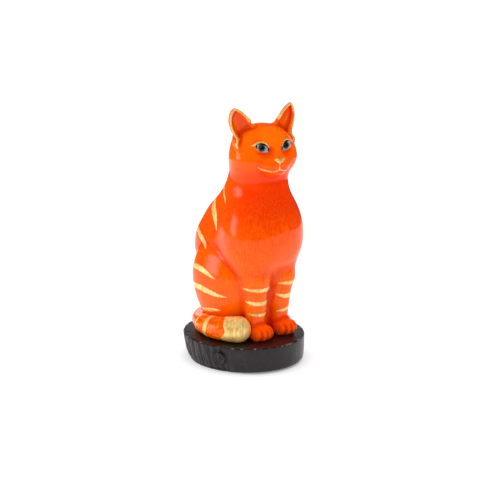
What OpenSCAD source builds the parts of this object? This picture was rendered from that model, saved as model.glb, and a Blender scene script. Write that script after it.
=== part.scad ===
// Seated cat figurine on an oval wood plinth.
// The figure is an assembly: a hollow body and head, with ears, forelegs and tail
// pegged into them, gilt trim on the surface, and two screws up through the plinth.
// The figure looks along -Y, its right side is -X, and Z = 0 is the felt's underside.

/* [Plinth] */
// Width of the plinth, side to side
plinth_w = 54; // [52:0.5:60]
// Length of the plinth, front to back
plinth_l = 58; // [56:0.5:64]
// Height of the plinth's top above the surface it stands on
plinth_top = 12.4; // [11:0.2:16]
// Depth of the chiselled hollows along the plinth's rough right edge
rough_depth = 0.7; // [0:0.1:1]
// Thickness of the felt under the plinth
felt_t = 0.8; // [0.5:0.1:1.5]

/* [Figure] */
// Height of the ear tips above the plinth's top
figure_h = 107; // [95:1:115]
// Sideways offset of the figure from the plinth's middle, which leaves room for the tail
figure_x = 4; // [3:0.5:5]
// Angle that the head is turned towards the figure's right side
head_turn = 13; // [0:1:20]
// Wall thickness of the hollow body and head
wall = 2; // [1.5:0.1:3]
// How far the gilt trim stands out of the surface
gilt_t = 0.3; // [0.2:0.05:0.5]

/* [Joints] */
// Radius of the neck spigot
neck_r = 6; // [5:0.5:7]
// Radius of the pegs that hold the ears, forelegs and tail
peg_r = 1.2; // [1:0.1:1.4]
// Clearance round every peg and spigot
fit = 0.05; // [0.02:0.01:0.1]
// Radius of the plinth screws' threads
screw_r = 1.5; // [1.25:0.25:2]
// Distance between the two plinth screws
screw_gap = 15; // [13:0.5:16]

/* [Hidden] */
sides = 32;      // points round a loft's ring
egg_fn = 24;     // facets round an egg
nominal_h = 107; // the figure's modules are drawn for this height
rows = 14;       // rings in the body's loft
neck_z = 72;     // height of the seam between body and head
leg_z = 34;      // height of the seam between body and foreleg
leg_x = 7.8;     // half the distance between the forelegs
head_c = [0, -8, 87]; // centre of the skull

// Sections of body and neck: height, middle in Y, half width, half depth.
body_sections = [
    [0, 7.5, 14.5, 15.5], [8, 8, 16, 16.5], [18, 7.4, 17.5, 17.8], [27, 5.6, 18.6, 20],
    [35, 2, 19.4, 23], [45, -0.2, 19.2, 24.8], [54, -2, 17.6, 22.6],
    [62, -3.8, 15.4, 18.2], [72, -5.8, 13.4, 13.6], [82, -7.6, 12.4, 12]
];
// Course of the tail, from its root behind the body to its tip, and its radius at each point.
tail_path = [[1, 21, 4.6], [-7, 21.2, 4.6], [-14, 18.5, 4.8], [-19, 13.5, 4.9],
             [-21.3, 6.9, 5], [-21.6, 0, 5.2], [-20, -7, 5.8], [-17.6, -12.2, 6.2]];
tail_radii = [4.2, 4.3, 4.4, 4.6, 4.8, 5.1, 5.6, 5.4];

// ---- Functions ----

// Value of table p at position t, on a smooth curve through its rows.
function curve(p, t) =
    let (i = min(floor(t), len(p) - 2), f = t - i,
         a = p[max(i - 1, 0)], b = p[i], c = p[i + 1], d = p[min(i + 2, len(p) - 1)])
    0.5 * (2 * b + (c - a) * f + (2 * a - 5 * b + 4 * c - d) * f * f
           + (3 * b - 3 * c + d - a) * f * f * f);

// One ring of a loft: a rounded oval, squarer than an ellipse.
function oval(z, y, a, b) =
    [for (i = [0 : sides - 1])
        let (t = 360 * i / sides, c = cos(t), s = sin(t))
        [a * sign(c) * pow(abs(c), 0.85), y + b * sign(s) * pow(abs(s), 0.85), z]];

function unit(v) = v / norm(v);

// One ring of a tube, square to the direction d at the point p.
function hoop(p, d, r, n) =
    let (u = unit(cross(d, abs(d.z) > 0.9 * norm(d) ? [1, 0, 0] : [0, 0, 1])), v = unit(cross(d, u)))
    [for (i = [0 : n - 1]) p + r * (cos(360 * i / n) * u + sin(360 * i / n) * v)];

// Direction of a path at its point i.
function heading(path, i) = path[min(i + 1, len(path) - 1)] - path[max(i - 1, 0)];

// A table resampled to n points along its smooth curve.
function smooth(p, n) = [for (i = [0 : n - 1]) curve(p, (len(p) - 1) * i / (n - 1))];

// A point of the skull's surface, by angle from the face's middle and height angle.
function on_skull(turn, rise, out = 0) =
    head_c + [(skull_r.x + out) * sin(turn) * cos(rise), -(skull_r.y + out) * cos(turn) * cos(rise),
              (skull_r.z + out) * sin(rise)];
skull_r = [14.8, 13.8, 12];

// ---- Shape helpers ----

module skin(rings) {
    n = len(rings[0]);
    m = len(rings);
    polyhedron(
        points = [for (r = rings) each r],
        faces = [[for (i = [0 : n - 1]) i],
                 for (k = [0 : m - 2], i = [0 : n - 1])
                     each let (a = k * n + i, b = k * n + (i + 1) % n)
                         [[a, a + n, b], [b, a + n, b + n]],
                 [for (i = [n - 1 : -1 : 0]) (m - 1) * n + i]]);
}

module tube(path, radii, n = 8)
    skin([for (i = [0 : len(path) - 1]) hoop(path[i], heading(path, i), radii[i], n)]);

module wire(path, r) tube(path, [for (p = path) r]);

module egg(c, r) translate(c) scale(r) sphere(r = 1, $fn = egg_fn);

module mirrored() {
    children();
    mirror([1, 0, 0]) children();
}

// The figure's own frame: on the plinth's top, on the figure's mid-plane.
module figure() translate([figure_x, 0, plinth_top]) scale(figure_h / nominal_h) children();

// The turned head's frame, whose axis is upright through the neck.
module turned() translate([0, head_c.y, 0]) rotate(-head_turn) translate([0, -head_c.y, 0]) children();

// A casting: its whole outer and inner surface taken as one.
module cast() resize([0, 0, 0]) children();

module above(z) intersection() {
    children();
    translate([-60, -60, z]) cube([120, 120, 120]);
}

// Gilt trim: the part of a shape that stands out of the casting, the second child.
module gilt() color("goldenrod") cast() difference() {
    children(0);
    children(1);
}

// ---- Plinth ----

// Radius of the plinth at an angle: an oval, with chiselled hollows on the right side.
function plinth_edge(t, inset) =
    let (from_right = abs(t - 180),
         rough = from_right < 40 ? pow(cos(from_right * 90 / 40), 0.5) : 0,
         hollow = rough_depth * rough * (1 - cos(t * 20)) / 2)
    [(plinth_w / 2 - inset) * cos(t), (plinth_l / 2 - inset) * sin(t)] * (1 - hollow / (plinth_w / 2));

module plinth_outline(inset = 0) polygon([for (i = [0 : 119]) plinth_edge(i * 3, inset)]);

module screw_places() for (y = [-1, 1]) translate([figure_x, 4.5 + y * screw_gap / 2, 0]) children();

counterbore = 5; // height of the counterbores' roof above the surface
washer_t = 0.5;
screw_head = 2;

module felt_pad() color("black") linear_extrude(felt_t) plinth_outline(1.5);

module plinth() color("#241a1a") difference() {
    translate([0, 0, felt_t]) linear_extrude(plinth_top - felt_t) plinth_outline();
    screw_places() {
        cylinder(r = screw_r + 0.1, h = plinth_top + 1, $fn = 48);
        cylinder(r = 2.2 * screw_r, h = counterbore, $fn = 48);
    }
}

module plinth_screws() color("silver") screw_places() {
    translate([0, 0, counterbore - washer_t - screw_head])
        cylinder(r = 1.85 * screw_r, h = screw_head, $fn = 48);
    translate([0, 0, counterbore - washer_t])
        cylinder(r = screw_r, h = plinth_top + 6 - counterbore, $fn = 48);
}

module screw_washers() color("silver") screw_places()
    translate([0, 0, counterbore - washer_t]) difference() {
        cylinder(r = 2.05 * screw_r, h = washer_t, $fn = 48);
        translate([0, 0, -1]) cylinder(r = screw_r + 0.1, h = washer_t + 2, $fn = 48);
    }

// ---- Body ----

module body_form(less = 0, top = neck_z) {
    share = (len(body_sections) - 1) * (top == neck_z ? 8 / 9 : 1);
    skin([for (i = [0 : rows])
        let (s = curve(body_sections, share * i / rows))
        oval(min(max(s[0], less), top - less), s[1], s[2] - less, s[3] - less)]);
}

haunch_c = [10.5, 4.5, 18.5];
haunch_r = [10.6, 18.5, 22.5];

module haunches(more = 0) mirrored() above(0) egg(haunch_c, haunch_r + more * [1, 1, 1]);

module hind_feet() mirrored() above(0) egg([14.4, -8, 2.6], [4.6, 8, 4.4]);

// The seats that the other castings and the screws need in the body.
module body_seats() {
    translate([0, head_c.y + 2.5, neck_z - 6]) cylinder(r = neck_r + fit, h = 10, $fn = 64);
    mirrored() translate([leg_x, -12, leg_z - 1]) cylinder(r = peg_r + fit, h = 5, $fn = 32);
    translate([1, 19, 5]) rotate([90, 0, 0]) cylinder(r = peg_r + fit, h = 12, center = true, $fn = 32);
    translate([0, 4.5 - screw_gap / 2, -1]) cylinder(r = screw_r + fit, h = 9, $fn = 48);
    translate([0, 4.5 + screw_gap / 2, -1]) cylinder(r = screw_r + fit, h = 9, $fn = 48);
}

// The hollow inside the body, around the screws' bosses and under the neck's socket.
module body_cavity() difference() {
    skin([for (i = [1 : rows - 4])
        let (s = curve(body_sections, 8 * i / rows))
        oval(s[0], s[1], s[2] - 2 * wall, s[3] - 2 * wall)]);
    for (y = [-1, 1]) translate([0, 4.5 + y * screw_gap / 2, 0])
        cylinder(r = 2.4 * screw_r, h = 10, $fn = 32);
    translate([0, 15, -1]) cube([8, 10, 22], center = true);
    mirrored() translate([leg_x, -14, leg_z]) cube([8, 10, 16], center = true);
}

module body() color("orangered") difference() {
    cast() difference() {
        union() {
            body_form();
            haunches();
            hind_feet();
        }
        body_cavity();
        translate([0, 4.5, -1]) cylinder(r = 1, h = 20, $fn = 24); // vent
        forelegs_form();
        tail_form(fit);
    }
    body_seats();
}

// ---- Forelegs ----

leg_path = smooth([[leg_x, -11.6, leg_z], [leg_x, -11.8, 24], [leg_x, -12, 12],
                   [leg_x, -12.2, 5], [leg_x, -12.4, 0]], 12);
leg_radii = smooth([7, 6.1, 5.5, 5.6, 5.2], 12);

module foreleg_form() {
    tube(leg_path, leg_radii, 20);
    above(0) egg([leg_x + 0.1, -16.6, 3.2], [5.6, 6.6, 4.8]);
}

module forelegs_form() mirrored() foreleg_form();

module foreleg() color("orangered") {
    cast() foreleg_form();
    translate([leg_x, -12, leg_z - 5]) cylinder(r = peg_r, h = 8.5, $fn = 32);
}

// ---- Tail ----

tail_n = 26;
tail_cut = 20; // ring where the gilt tip begins

function tail_point(i) = curve(tail_path, (len(tail_path) - 1) * i / (tail_n - 1));
function tail_radius(i) = curve(tail_radii, (len(tail_radii) - 1) * i / (tail_n - 1));

module tail_rings(from, to, more = 0) {
    path = [for (i = [from : to]) tail_point(i)];
    tube(path, [for (i = [from : to]) tail_radius(i) + more], 20);
}

module tail_form(more = 0) tail_rings(0, tail_n - 1, more);

module tail() color("orangered") {
    tail_rings(0, tail_cut);
    translate([1, 19, 5]) rotate([90, 0, 0]) cylinder(r = peg_r, h = 10, center = true, $fn = 32);
}

module tail_tip() color("goldenrod") {
    tail_rings(tail_cut, tail_n - 1);
    end = tail_point(tail_n - 1);
    d = unit(end - tail_point(tail_n - 2));
    tube([for (a = [0 : 15 : 75]) end + d * tail_radii[7] * sin(a) * 0.8],
         [for (a = [0 : 15 : 75]) tail_radii[7] * cos(a)], 20);
}

// ---- Head ----

module skull() {
    egg(head_c, skull_r);
    egg([0, -9, 83], [14.8, 12, 9]);
    egg([0, -17.2, 82.4], [6.6, 5.9, 5.2]);
    egg([0, -13.5, 80], [9, 8, 5.5]);
}

module head_form() {
    turned() skull();
    above(neck_z) body_form(0, 80);
}

module ear_form(side) turned() mirror([side < 0 ? 1 : 0, 0, 0]) difference() {
    hull() {
        egg([6.5, -7, 96], [2.6, 2, 3]);
        egg([12.4, -6, 90], [2.6, 3.6, 5]);
        egg([14, -8, 106.2], [0.8, 0.8, 0.8]);
    }
    hull() {
        egg([7.6, -12, 97], [2.2, 4.4, 2]);
        egg([12.8, -12, 91], [2, 4.6, 3]);
        egg([14, -11.5, 105.4], [0.5, 3, 0.5]);
    }
}

module ear_peg(side) turned() translate([side * 9.5, -7, 91]) cylinder(r = peg_r, h = 7.5, $fn = 32);

module ear(side) color("orangered") {
    cast() difference() {
        ear_form(side);
        head_form();
    }
    ear_peg(side);
}

module eye_form(side, more = 0) turned()
    translate(on_skull(side * 27, 13, -0.5)) rotate([0, 0, side * 27])
    scale([2.7 + more, 1.1 + more, 2.1 + more]) sphere(r = 1, $fn = 24);

module head() color("orangered") difference() {
    union() {
        cast() difference() {
            head_form();
            egg(head_c + [0, 0.5, -0.5], skull_r - [wall, wall, wall] * 2.2);
            translate([0, head_c.y + 2.5, neck_z - 7]) cylinder(r = 1, h = 16, $fn = 24); // vent
            eye_form(-1, 0.02);
            eye_form(1, 0.02);
        }
        translate([0, head_c.y + 2.5, neck_z - 5.5]) difference() {
            cylinder(r = neck_r, h = 8, $fn = 64);
            translate([0, 0, -1]) cylinder(r = 1, h = 10, $fn = 24);
        }
    }
    for (side = [-1, 1]) turned() translate([side * 9.5, -7, 91 - fit])
        cylinder(r = peg_r + fit, h = 14, $fn = 32);
}

module eye(side) color("dimgray") cast() eye_form(side);

// ---- Gilt trim ----

module ear_rim(side) gilt() {
    turned() mirror([side < 0 ? 1 : 0, 0, 0])
        wire(smooth([[6, -8.8, 98], [9.5, -9.2, 103], [13.6, -9, 106.5], [14.8, -8.8, 104],
                     [15.4, -8.4, 98], [14.4, -8.2, 90]], 16), 0.55);
    union() {
        ear_form(side);
        head_form();
    }
}

module eyelid(side) gilt() {
    turned() wire([for (i = [0 : 9]) on_skull(side * (12 + 3.8 * i), 13 + 12 * sin(180 * i / 9), 0.1)],
                  gilt_t + 0.15);
    union() {
        head_form();
        eye_form(side);
    }
}

module nose() gilt() {
    turned() hull() {
        egg([-1.9, -22.6, 84.6], [0.8, 0.8, 0.7]);
        egg([1.9, -22.6, 84.6], [0.8, 0.8, 0.7]);
        egg([0, -22.9, 82.8], [0.6, 0.8, 0.7]);
    }
    head_form();
}

module mouth() gilt() {
    turned() {
        wire([[0, -23, 83], [0, -23, 82], [0, -22.8, 80.6]], 1.5 * gilt_t);
        mirrored() wire(smooth([[0, -22.9, 80.8], [2.6, -22.3, 80], [5, -20.5, 80.6], [7.6, -19, 83]], 8),
                        1.5 * gilt_t);
    }
    head_form();
}

// A stripe round an upright axis: a slab between two angles, tilted and thin.
module slab(c, from, to, z, drop, h)
    skin([for (i = [0 : 8])
        let (t = from + (to - from) * i / 8, thick = h * (0.3 + 0.7 * sin(22.5 * i)),
             d = [cos(t), sin(t), 0], p = [c.x, c.y, z + drop * i / 8], up = [0, 0, thick / 2])
        [p + d * 4 + up, p + d * 40 + up, p + d * 40 - up, p + d * 4 - up]]);

module back_stripes() gilt() {
    intersection() {
        body_form(-gilt_t);
        union() {
            mirrored() slab([0, -3], 95, 150, 67, -5, 1.4);
            mirrored() slab([0, -2], 95, 172, 61, -10, 2.4);
            mirrored() slab([0, 0], 95, 165, 47, -6, 2);
        }
    }
    body_form();
}

module haunch_stripes() gilt() {
    intersection() {
        mirrored() egg(haunch_c, haunch_r + gilt_t * [1, 1, 1]);
        mirrored() {
            slab(haunch_c, -21, 50, 27.5, 3.5, 3);
            slab(haunch_c, -52, 60, 20, 0.5, 2.8);
            slab(haunch_c, -37, 50, 13.5, -1.5, 1.8);
        }
    }
    union() {
        body_form();
        haunches();
        tail_form(fit);
    }
}

module foreleg_stripes(side) gilt() {
    mirror([side < 0 ? 1 : 0, 0, 0]) intersection() {
        tube(leg_path, [for (r = leg_radii) r + gilt_t], 20);
        for (z = [12, 17.8, 24.2]) slab([leg_x, -9], -150, -30, z, 0, 2);
    }
    union() {
        forelegs_form();
        body_form();
    }
}

module tail_bands() gilt() {
    above(0.5) for (i = [10, 14]) {
        stations = [i + 0.1, i + 0.5, i + 0.9];
        tube([for (k = stations) tail_point(k)], [for (k = stations) tail_radius(k) + gilt_t], 16);
    }
    union() {
        tail_form();
        body_form(-1);
        haunches(1);
    }
}

felt_pad();
plinth();
plinth_screws();
screw_washers();
figure() body();
figure() head();
figure() ear(-1);  // right_ear
figure() ear(1);  // left_ear
figure() mirror([1, 0, 0]) foreleg();  // right_foreleg
figure() foreleg();  // left_foreleg
figure() tail();
figure() tail_tip();
figure() eye(-1);  // right_eye
figure() eye(1);  // left_eye
figure() eyelid(-1);  // right_eyelid
figure() eyelid(1);  // left_eyelid
figure() ear_rim(-1);  // right_ear_rim
figure() ear_rim(1);  // left_ear_rim
figure() nose();
figure() mouth();
figure() back_stripes();
figure() haunch_stripes();
figure() foreleg_stripes(-1);  // right_foreleg_stripes
figure() foreleg_stripes(1);  // left_foreleg_stripes
figure() tail_bands();
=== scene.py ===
import math

import bpy
import numpy as np
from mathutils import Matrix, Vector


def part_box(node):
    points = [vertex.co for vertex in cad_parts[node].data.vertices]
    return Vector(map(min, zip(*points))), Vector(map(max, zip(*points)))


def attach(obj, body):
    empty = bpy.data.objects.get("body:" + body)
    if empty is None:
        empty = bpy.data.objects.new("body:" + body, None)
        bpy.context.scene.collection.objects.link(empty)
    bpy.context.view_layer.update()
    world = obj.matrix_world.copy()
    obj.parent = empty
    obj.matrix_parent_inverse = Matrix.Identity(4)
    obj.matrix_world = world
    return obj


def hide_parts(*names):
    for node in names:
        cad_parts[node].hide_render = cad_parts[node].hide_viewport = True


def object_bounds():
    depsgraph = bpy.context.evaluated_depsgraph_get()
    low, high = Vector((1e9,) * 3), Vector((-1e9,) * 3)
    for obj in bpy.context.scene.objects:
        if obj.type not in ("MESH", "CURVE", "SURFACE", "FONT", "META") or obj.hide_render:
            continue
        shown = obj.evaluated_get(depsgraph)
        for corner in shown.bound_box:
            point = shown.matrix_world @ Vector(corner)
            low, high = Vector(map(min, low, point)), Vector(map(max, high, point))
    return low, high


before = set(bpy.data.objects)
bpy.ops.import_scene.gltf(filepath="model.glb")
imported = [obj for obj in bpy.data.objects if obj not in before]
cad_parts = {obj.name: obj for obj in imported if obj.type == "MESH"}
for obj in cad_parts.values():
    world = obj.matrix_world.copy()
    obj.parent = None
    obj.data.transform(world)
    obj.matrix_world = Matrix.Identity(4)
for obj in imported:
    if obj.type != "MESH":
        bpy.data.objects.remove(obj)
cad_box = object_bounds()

import openvdb
from mathutils import Vector
from mathutils.bvhtree import BVHTree

# The figure is sculpted in millimetres in its own frame: the origin is on the plinth's top, on the
# figure's mid-plane. It looks along -Y, and its right side is -X.
PLINTH = [np.array(c) * 1000 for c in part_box("plinth")]
TOP = PLINTH[1][2]
MIDDLE = (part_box("right_foreleg")[0][0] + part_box("left_foreleg")[1][0]) * 500
ORIGIN = np.array([MIDDLE, 0.0, TOP])
TALL = 107.0                       # the sculpted figure's height, from its feet to its ear tips
K = (cad_box[1][2] * 1000 - TOP) / TALL

NECK = 72.0                        # height of the seam between body and head
AXIS = np.array([0.0, -8.0])       # the turned head's upright axis
DROP = np.float32(1.3)             # how far the head is pushed down onto the neck
TURN = math.radians(13)            # towards the figure's right side
SIDE = np.array([math.cos(TURN), -math.sin(TURN), 0.0])     # the head's own left
AHEAD = np.array([-math.sin(TURN), -math.cos(TURN), 0.0])   # where the face looks
BOTH_SIDES = ((-1, "right"), (1, "left"))


def to_row(p):
    """Figure millimetres to the row frame's metres."""
    return (np.asarray(p, float) * K + ORIGIN) / 1000


def to_figure(p):
    """The row frame's millimetres to figure millimetres."""
    return (np.asarray(p, float) - ORIGIN) / K


# ---- Fields: signed distances in millimetres, negative inside ----

def smin(a, b, k):
    """The union of two fields, blended over a width k."""
    h = np.maximum(k - np.abs(a - b), 0)
    return np.minimum(a, b) - h * h * (0.25 / k)


def smax(a, b, k):
    return -smin(-a, -b, k)


def egg(p, c, r):
    """An ellipsoid with its centre and its three radii."""
    q, r = p - np.float32(c), np.float32(r)
    k0 = np.sqrt(np.square(q / r).sum(-1))
    k1 = np.sqrt(np.square(q / (r * r)).sum(-1)) + 1e-5
    return k0 * (k0 - 1) / k1


def limb(p, a, b, ra, rb):
    """A round limb from a to b whose radius goes from ra to rb."""
    a, b = np.float32(a), np.float32(b)
    d = b - a
    t = np.clip(((p - a) @ d) / (d @ d), 0, 1)
    return np.sqrt(np.square(p - a - t[:, None] * d).sum(-1)) - (ra + (rb - ra) * t)


def spline(table, n=240):
    """A smooth curve through the rows of a table, resampled to n rows."""
    t = np.asarray(table, float)
    x = np.linspace(0, len(t) - 1, n)
    i = np.minimum(x.astype(int), len(t) - 2)
    f = (x - i)[:, None]
    a, b, c, d = t[np.maximum(i - 1, 0)], t[i], t[i + 1], t[np.minimum(i + 2, len(t) - 1)]
    return 0.5 * (2 * b + (c - a) * f + (2 * a - 5 * b + 4 * c - d) * f ** 2
                  + (3 * b - 3 * c + d - a) * f ** 3)


# Torso and neck: height, front, back, half width, squareness.
TORSO = spline([
    (-3, -9.5, 20, 11, 2.2), (6, -10.5, 22.2, 12, 2.2), (14, -11, 24.4, 13.2, 2.3),
    (22, -12.8, 26.8, 14.4, 2.4), (30, -16.9, 28.6, 15.4, 2.5), (37, -21.6, 29.8, 16.4, 2.6),
    (44, -24.6, 28.9, 16.1, 2.6), (51, -25.6, 25.1, 15.2, 2.5), (57, -24.3, 20.7, 14.6, 2.4),
    (63, -21.8, 14.6, 13.9, 2.3), (69, -19.3, 10.0, 13.2, 2.2), (75, -17.5, 7.2, 12.8, 2.2),
    (80, -15.5, 4.8, 11.8, 2.2), (86, -13, 1, 9, 2.2),
])


def torso(p):
    z = p[:, 2]
    columns = TORSO[:, 1:].T
    front, rear, wide, square = (np.interp(z, TORSO[:, 0], column).astype(np.float32) for column in columns)
    deep = (rear - front) / 2
    x, y = np.abs(p[:, 0]), np.abs(p[:, 1] - front - deep)
    k = ((x / wide) ** square + (y / deep) ** square) ** (1 / square)
    d = (k - 1) * np.hypot(x, y) / np.maximum(k, 1e-3)
    return np.maximum(d, z - TORSO[-1, 0])


def both(p):
    """The right side folded onto the left."""
    q = p.copy()
    q[:, 0] = np.abs(q[:, 0])
    return q


def toes(q, x, y, spread):
    """Four toes side by side round x, the middle two a little ahead."""
    d = np.full(len(q), 30, np.float32)
    for step in (-3, -1, 1, 3):
        middle = (x + spread * step, y - 2.6 + 0.17 * step * step, 2.9)
        d = np.minimum(d, egg(q, middle, (1.5, 3.6, 3.1)))
    return d


def foreleg(q):
    shoulder, elbow, wrist, ankle = (9.2, -9.2, 43), (7.8, -11.5, 27), (7.15, -11.0, 15), (7.1, -11.4, 5)
    d = limb(q, shoulder, elbow, 8.8, 6.8)
    d = smin(d, limb(q, elbow, wrist, 6.8, 5.0), 1.5)
    d = smin(d, limb(q, wrist, ankle, 5.0, 4.2), 1.5)
    paw = egg(q, (7.3, -14.9, 3.1), (5.2, 5.0, 4.3))
    return smin(smin(d, paw, 1.4), toes(q, 7.3, -14.6, 1.28), 0.5)


def thigh(q):
    """A bulging haunch, drawn in towards the floor."""
    middle = np.float32((9.2, 6.2, 20.6))
    grow = 0.64 + 0.36 * np.sin(np.clip((q[:, 2] - 2) / 28, 0, 1) * np.float32(math.pi / 2))
    x, y, z = (np.abs(q - middle) / np.float32((11.8, 18.4, 23.8))).T
    k = ((x / grow) ** 2.3 + (y / grow) ** 2.3 + z ** 2.4) ** (1 / 2.33)
    return (k - 1) * np.sqrt(np.square(q - middle).sum(-1)) / np.maximum(k, 1e-3)


def hind_paw(q):
    return smin(egg(q, (11.8, -4.0, 2.8), (3.8, 8.0, 3.6)), toes(q, 11.8, -7.0, 1.0), 0.5)


def trunk(p, q):
    """Torso, shoulders and haunches; q is p folded onto the left side."""
    d = smin(torso(p), egg(q, (9.2, -8.9, 47), (10.4, 12, 17)), 6)
    return smin(d, thigh(q), 1.2)


def body_skin(p):
    q = both(p)
    d = smin(trunk(p, q), foreleg(q), 2.2)
    d = smin(d, hind_paw(q), 1.2)
    return smax(d, -0.05 - p[:, 2], 0.3)


def to_head(p):
    """Figure coordinates to the head's: its own left, ahead, and height."""
    q = p.copy()
    q[:, :2] -= np.float32(AXIS)
    return np.stack([q[:, :2] @ np.float32(SIDE[:2]), q[:, :2] @ np.float32(AHEAD[:2]), q[:, 2] + DROP], -1)


def from_head(h):
    h = np.asarray(h, float)
    upright = [np.broadcast_to(AXIS, h.shape[:-1] + (2,)), h[..., 2:] - DROP]
    return h[..., :1] * SIDE + h[..., 1:2] * AHEAD + np.concatenate(upright, -1)


# ---- Ears: a cupped sheet between two edge curves, base to tip, in the head's coordinates ----

EAR_ROWS, EAR_ACROSS = 25, 17
EAR_INNER = spline([
    (4.6, 0.2, 96.2), (6.4, 0.9, 99.0), (8.8, 0.9, 102.2), (11.5, 0.5, 105.0), (14.2, -0.2, 106.5),
], EAR_ROWS)
EAR_OUTER = spline([
    (13.4, 2.8, 88.6), (14.2, 2.2, 90.4), (14.5, 1.8, 91.8), (13.5, 1.1, 93.3), (14.1, 0.3, 95.3),
    (15.3, -0.3, 97.8), (15.9, -0.7, 101.4), (15.3, -0.5, 104.9), (14.1, -0.2, 106.3),
], EAR_ROWS)
EAR_CUP = 4.2 * np.array([0.5, -1.0, 0.0])      # how far the sheet is hollowed, back and outwards


def grid_faces(n, m, offset=0):
    """Quads over n rows of m points."""
    starts = [offset + i * m + j for i in range(n - 1) for j in range(m - 1)]
    return [(k, k + m, k + m + 1, k + 1) for k in starts]


def ear_sheet():
    """Points on a grid, from base to tip and from the inner to the outer edge."""
    points = []
    for i, (inner, outer) in enumerate(zip(EAR_INNER, EAR_OUTER)):
        open_share = (1 - i / (EAR_ROWS - 1)) ** 0.75
        for t in np.linspace(0, 1, EAR_ACROSS):
            points.append(inner + (outer - inner) * t + EAR_CUP * (open_share * (4 * t * (1 - t)) ** 0.8))
    return points


EAR_TREE = BVHTree.FromPolygons([tuple(p) for p in ear_sheet()], grid_faces(EAR_ROWS, EAR_ACROSS))


def ear(h):
    """An ear's field, with h folded onto the left side. It thins from base to tip."""
    out = np.full(len(h), 6, np.float32)
    near = np.flatnonzero((h[:, 0] > 1.5) & (h[:, 1] > -9) & (h[:, 1] < 5.5) & (h[:, 2] > 83))
    for n, at in zip(near.tolist(), h[near].tolist()):
        _, _, face, distance = EAR_TREE.find_nearest(at)
        s = face // (EAR_ACROSS - 1) / (EAR_ROWS - 1)
        out[n] = distance - (0.82 - 0.17 * s)
    return out


def skull(h, a):
    """The head without its ears; a is h folded onto the left side."""
    d = egg(h, (0, -0.6, 87.6), (14.2, 13.4, 11.3))
    d = smin(d, egg(a, (5.4, 1.6, 83.8), (9.7, 10.3, 7.8)), 4)               # cheeks
    d = smin(d, egg(h, (0, -1.5, 81.2), (13.0, 11.6, 8.6)), 4)               # jaw
    d = smin(d, limb(h, (0, 7.4, 93.0), (0, 13.3, 86.0), 4.4, 2.5), 4.5)     # bridge of the nose
    d = smin(d, egg(a, (2.6, 11.5, 82.8), (4.2, 4.6, 3.6)), 2.6)             # muzzle
    d = smin(d, egg(h, (0, 10.8, 79.8), (4.6, 4.0, 3.0)), 2.4)               # chin
    d = smax(d, -egg(a, (6.4, 14.3, 89.9), (4.2, 3.3, 3.0)), 2.4)            # eye sockets
    return smin(d, egg(a, (6.1, 8.4, 90.0), (3.6, 3.0, 3.0)), 0.8)           # eyeballs


def skin(p):
    """The whole casting."""
    h = to_head(p)
    a = both(h)
    d = smin(body_skin(p), skull(h, a), 3.6)
    return smin(d, ear(a), 1.8)


# ---- Meshes ----

def gradient(field, p, e=0.04):
    g = np.empty((len(p), 3), np.float32)
    for i in range(3):
        d = np.zeros(3, np.float32)
        d[i] = e
        g[:, i] = (field(p + d) - field(p - d)) / (2 * e)
    return g


def settle(field, points, level=False):
    """Points moved onto the field's zero surface, keeping their height if level."""
    for _ in range(2):
        g = gradient(field, points)
        if level:
            g[:, 2] = 0
        points = points - g * (field(points) / np.maximum(np.square(g).sum(-1), 0.1))[:, None]
    return points


def clip(points, faces, height, above):
    """The part of a mesh of quads above or below a height, with the new points that the cut makes."""
    keep = points[:, 2] > height if above else points[:, 2] < height
    count = keep[faces].sum(1)
    out = [tuple(f) for f in faces[count == 4].tolist()]
    made, new = {}, []

    def crossing(u, v):
        key = (min(u, v), max(u, v))
        if key not in made:
            t = (height - points[u, 2]) / (points[v, 2] - points[u, 2])
            made[key] = len(points) + len(new)
            new.append(points[u] + t * (points[v] - points[u]))
        return made[key]

    for f in faces[(count > 0) & (count < 4)].tolist():
        shape = []
        for u, v in zip(f, f[1:] + f[:1]):
            if keep[u]:
                shape.append(u)
            if keep[u] != keep[v]:
                shape.append(crossing(u, v))
        if len(shape) > 2:
            out.append(tuple(shape))
    return out, np.array(new, np.float32).reshape(-1, 3)


def sampled(field, axes):
    """The field's values on a grid, worked out in slabs along x."""
    x, y, z = axes
    values = np.empty((len(x), len(y), len(z)), np.float32)
    yz = np.stack(np.meshgrid(y, z, indexing="ij"), -1).reshape(-1, 2)
    slab = 16
    for k in range(0, len(x), slab):
        xs = x[k:k + slab]
        p = np.concatenate([np.repeat(xs, len(yz))[:, None], np.tile(yz, (len(xs), 1))], 1)
        values[k:k + slab] = field(p).reshape(len(xs), len(y), len(z))
    return values


def hollowness(field, points, reach=np.float32(0.9)):
    """Above 0 in creases and below 0 on ridges."""
    steps = reach * np.eye(3, dtype=np.float32)
    around = sum(field(points + step * s) for step in steps for s in (-1, 1))
    return -around / (reach * reach)


def contour(field, low, high, step, seam, above):
    """Faces on the field's zero surface on one side of the seam: points, faces, normals and hollowness."""
    low, high = np.array(low, float), np.array(high, float)
    n = np.ceil((high - low) / step).astype(int) + 1
    band = 3 * step
    grid = openvdb.FloatGrid(band)
    values = sampled(field, [np.float32(low[i] + step * np.arange(n[i])) for i in range(3)])
    grid.copyFromArray(np.clip(values, -band, band))
    points, quads = grid.convertToQuads(0.0)
    points, quads = np.float32(points * step + low), np.array(quads, int)
    inside = (points[:, 2] > low[2] + band / 2) if above else (points[:, 2] < high[2] - band / 2)
    quads = quads[inside[quads].all(1)]
    points = settle(field, points)
    faces, new = clip(points, quads, seam, above)
    points = np.concatenate([points, settle(field, new, level=True)])
    g = gradient(field, points)
    normals = g / np.maximum(np.linalg.norm(g, axis=1), 1e-6)[:, None]
    a, b, c, d = (points[quads[:, i]] for i in range(4))
    if (np.cross(c - a, d - b) * normals[quads[:, 0]]).sum(-1).mean() < 0:
        faces = [f[::-1] for f in faces]
    return points, faces, normals, hollowness(field, points)


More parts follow.
